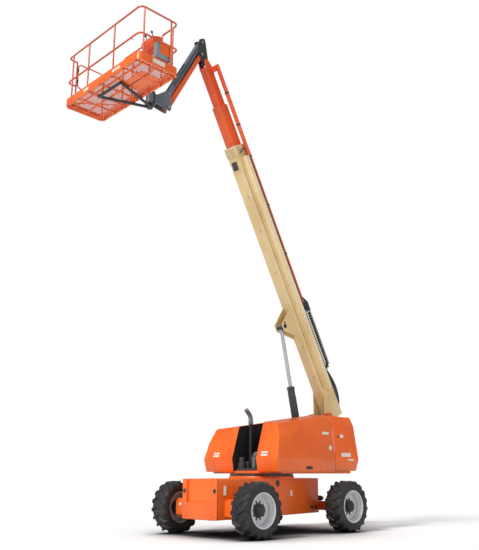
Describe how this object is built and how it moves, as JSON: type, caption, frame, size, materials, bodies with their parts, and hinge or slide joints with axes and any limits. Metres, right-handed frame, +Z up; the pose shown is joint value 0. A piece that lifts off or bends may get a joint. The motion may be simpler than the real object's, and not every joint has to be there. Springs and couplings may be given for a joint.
{
  "type": "telescopic boom lift",
  "caption": "Self-propelled telescopic boom lift with a swinging turntable, extending boom, jib and work platform on four wheels.",
  "frame": {"origin": "on the ground under the swing axis of the turntable, midway between the axles", "axes": "+X towards the work platform, +Y to the machine's left, +Z up"},
  "size_m": [6.5047, 2.685, 9.9199],
  "materials": {
    "orange": "satin",
    "cream": "satin",
    "black": "satin",
    "slate": "satin",
    "steel": "satin",
    "chrome": "polished",
    "silver": "satin",
    "tyre": "matt",
    "iron": "matt",
    "plastic": "matt"
  },
  "bodies": {
    "chassis": {"chassis_frame": "orange", "drive_axle": "orange", "steer_axle": "orange"},
    "knuckle_left": {"knuckle_left": "black"},
    "knuckle_right": {"knuckle_right": "black"},
    "turntable": {"slew_ring": "black", "turntable_deck": "orange", "counterweight": "iron", "engine_block": "iron", "tank_block": "black", "exhaust_pipe": "steel", "rear_covers": "orange"},
    "hood_left": {"hood_left": "orange"},
    "hood_right": {"hood_right": "orange"},
    "boom_base": {"boom_base": "cream", "hose_tray": "black"},
    "boom_mid": {"boom_mid": "cream"},
    "boom_fly": {"boom_fly": "cream", "push_tube": "orange"},
    "lift_barrel": {"lift_barrel": "black"},
    "lift_rod": {"lift_rod": "chrome"},
    "nose": {"nose_bracket": "black"},
    "jib_upper": {"jib_upper": "slate"},
    "jib_lower": {"jib_lower": "orange"},
    "jib_barrel": {"jib_barrel": "black"},
    "jib_rod": {"jib_rod": "chrome"},
    "jib_foot": {"jib_foot": "black"},
    "platform": {"platform_support": "black", "platform_deck": "orange", "platform_rails": "orange", "console": "orange", "tool_box": "orange"},
    "gate": {"gate": "orange"},
    "wheel_drive_left": {"tyre_drive_left": "tyre", "rim_drive_left": "silver"},
    "wheel_drive_right": {"tyre_drive_right": "tyre", "rim_drive_right": "silver"},
    "wheel_steer_left": {"tyre_steer_left": "tyre", "rim_steer_left": "silver"},
    "wheel_steer_right": {"tyre_steer_right": "tyre", "rim_steer_right": "silver"}
  },
  "joints": [
    {"name": "steer_left", "type": "hinge", "parent": "chassis", "child": "knuckle_left", "pos_m": [-1.245, 0.8, 0.48], "axis": [0, 0, 1], "range_deg": [-38, 38]},
    {"name": "steer_right", "type": "hinge", "parent": "chassis", "child": "knuckle_right", "pos_m": [-1.245, -0.8, 0.48], "axis": [0, 0, 1], "range_deg": [-38, 38]},
    {"name": "roll_drive_left", "type": "hinge", "parent": "chassis", "child": "wheel_drive_left", "pos_m": [1.245, 1.09, 0.48], "axis": [0, 1, 0], "continuous": true},
    {"name": "roll_drive_right", "type": "hinge", "parent": "chassis", "child": "wheel_drive_right", "pos_m": [1.245, -1.09, 0.48], "axis": [0, 1, 0], "continuous": true},
    {"name": "roll_steer_left", "type": "hinge", "parent": "knuckle_left", "child": "wheel_steer_left", "pos_m": [-1.245, 1.09, 0.48], "axis": [0, 1, 0], "continuous": true},
    {"name": "roll_steer_right", "type": "hinge", "parent": "knuckle_right", "child": "wheel_steer_right", "pos_m": [-1.245, -1.09, 0.48], "axis": [0, 1, 0], "continuous": true},
    {"name": "swing", "type": "hinge", "parent": "chassis", "child": "turntable", "pos_m": [0, 0, 1.04], "axis": [0, 0, 1], "continuous": true},
    {"name": "hood_left", "type": "hinge", "parent": "turntable", "child": "hood_left", "pos_m": [-0.4, 0.465, 2.16705], "axis": [0.9867, 0, -0.1626], "range_deg": [0, 75]},
    {"name": "hood_right", "type": "hinge", "parent": "turntable", "child": "hood_right", "pos_m": [-0.4, -0.185, 2.19864], "axis": [-0.9881, 0, 0.1536], "range_deg": [0, 75]},
    {"name": "boom_lift", "type": "hinge", "parent": "turntable", "child": "boom_base", "pos_m": [-1.8, 0.1, 2.255], "axis": [0, -1, 0], "range_deg": [-61.5, 13.5]},
    {"name": "boom_extend", "type": "slide", "parent": "boom_base", "child": "boom_mid", "axis": [0.4772, 0, 0.8788], "range_m": [0, 4.2]},
    {"name": "fly_extend", "type": "slide", "parent": "boom_mid", "child": "boom_fly", "axis": [0.4772, 0, 0.8788], "range_m": [0, 4.2]},
    {"name": "lift_barrel_turn", "type": "hinge", "parent": "turntable", "child": "lift_barrel", "pos_m": [-1.13, 0.1, 1.215], "axis": [0, -1, 0], "range_deg": [-50, 12]},
    {"name": "lift_rod_slide", "type": "slide", "parent": "lift_barrel", "child": "lift_rod", "axis": [0.2068, 0, 0.9784], "range_m": [-1.2, 0.27]},
    {"name": "nose_level", "type": "hinge", "parent": "boom_fly", "child": "nose", "pos_m": [1.73215, 0.1, 9.38914], "axis": [0, -1, 0], "range_deg": [-13.5, 61.5]},
    {"name": "jib_lift", "type": "hinge", "parent": "nose", "child": "jib_upper", "pos_m": [1.86, 0.1, 9.8], "axis": [0, -1, 0], "range_deg": [0, 130]},
    {"name": "jib_link", "type": "hinge", "parent": "nose", "child": "jib_lower", "pos_m": [1.86, 0.1, 9.52], "axis": [0, -1, 0], "range_deg": [0, 130]},
    {"name": "foot_level", "type": "hinge", "parent": "jib_upper", "child": "jib_foot", "pos_m": [2.68791, 0.1, 8.25596], "axis": [0, -1, 0], "range_deg": [-130, 0]},
    {"name": "jib_barrel_turn", "type": "hinge", "parent": "nose", "child": "jib_barrel", "pos_m": [1.86, 0.1, 9.52], "axis": [0, -1, 0], "range_deg": [0, 131]},
    {"name": "jib_rod_slide", "type": "slide", "parent": "jib_barrel", "child": "jib_rod", "axis": [0.5479, 0, -0.8365], "range_m": [0, 0.54]},
    {"name": "platform_turn", "type": "hinge", "parent": "jib_foot", "child": "platform", "pos_m": [3.086, 0.1, 8], "axis": [0, 0, 1], "range_deg": [-90, 90]},
    {"name": "gate", "type": "hinge", "parent": "platform", "child": "gate", "pos_m": [3.9897, -1.075, 8.5], "axis": [0, 0, -1], "range_deg": [0, 90]}
  ],
  "couplings": [
    {"joint": "steer_right", "follows": "steer_left", "ratio": 1},
    {"joint": "fly_extend", "follows": "boom_extend", "ratio": 1},
    {"joint": "lift_barrel_turn", "follows": "boom_lift", "ratio": 0.78},
    {"joint": "lift_rod_slide", "follows": "boom_lift", "m_per_rad": 1.084},
    {"joint": "nose_level", "follows": "boom_lift", "ratio": -1},
    {"joint": "jib_link", "follows": "jib_lift", "ratio": 1},
    {"joint": "foot_level", "follows": "jib_lift", "ratio": -1},
    {"joint": "jib_barrel_turn", "follows": "jib_lift", "ratio": 1.0075},
    {"joint": "jib_rod_slide", "follows": "jib_lift", "m_per_rad": 0.236}
  ]
}
